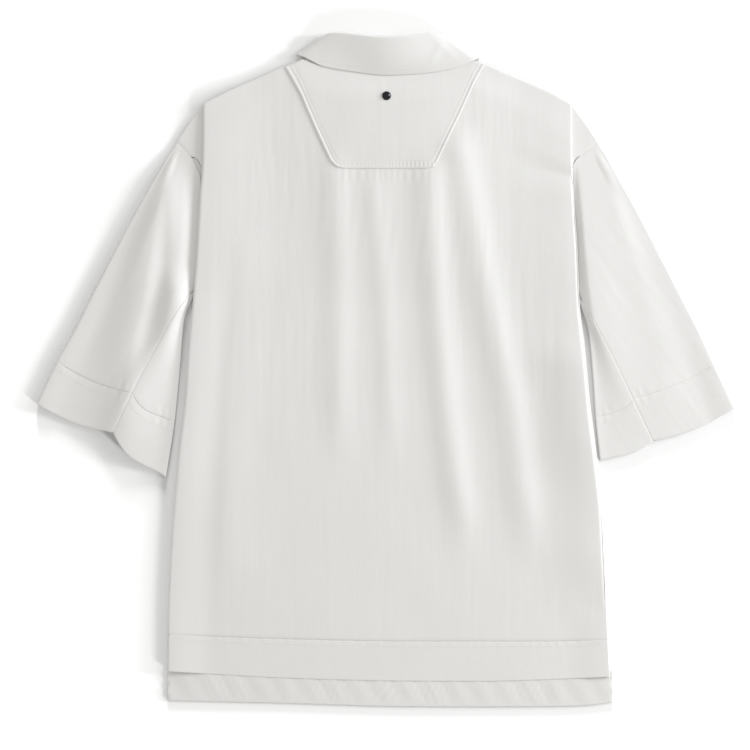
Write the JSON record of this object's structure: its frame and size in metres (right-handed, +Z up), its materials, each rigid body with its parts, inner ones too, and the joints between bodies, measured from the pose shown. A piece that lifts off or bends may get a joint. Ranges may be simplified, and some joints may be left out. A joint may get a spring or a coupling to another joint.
{
  "type": "polo shirt",
  "caption": "Plain short-sleeved polo shirt with a folded collar and dropped shoulders, laid flat face down with its back up.",
  "frame": {"origin": "middle of the shirt's outline, on the surface that it lies on", "axes": "+Z up out of the surface, +Y towards the collar, +X across the back to the viewer's right"},
  "size_m": [0.7334, 0.7064, 0.0113],
  "materials": {
    "shirting": "matt off-white cotton with a fine crinkle",
    "band_cloth": "smoother off-white cotton, pressed",
    "button_shell": "satin pearl white",
    "stud_metal": "dark polished metal"
  },
  "bodies": {
    "root": {"front_panel": "shirting", "back_panel": "shirting", "back_hem_band": "band_cloth", "back_yoke": "shirting", "sleeve_left": "shirting", "sleeve_band_left": "band_cloth", "sleeve_right": "shirting", "sleeve_band_right": "band_cloth", "collar": "band_cloth", "placket_over": "shirting", "placket_under": "shirting", "button_1": "button_shell", "button_2": "button_shell", "button_3": "button_shell", "neck_stud": "stud_metal"}
  },
  "joints": []
}
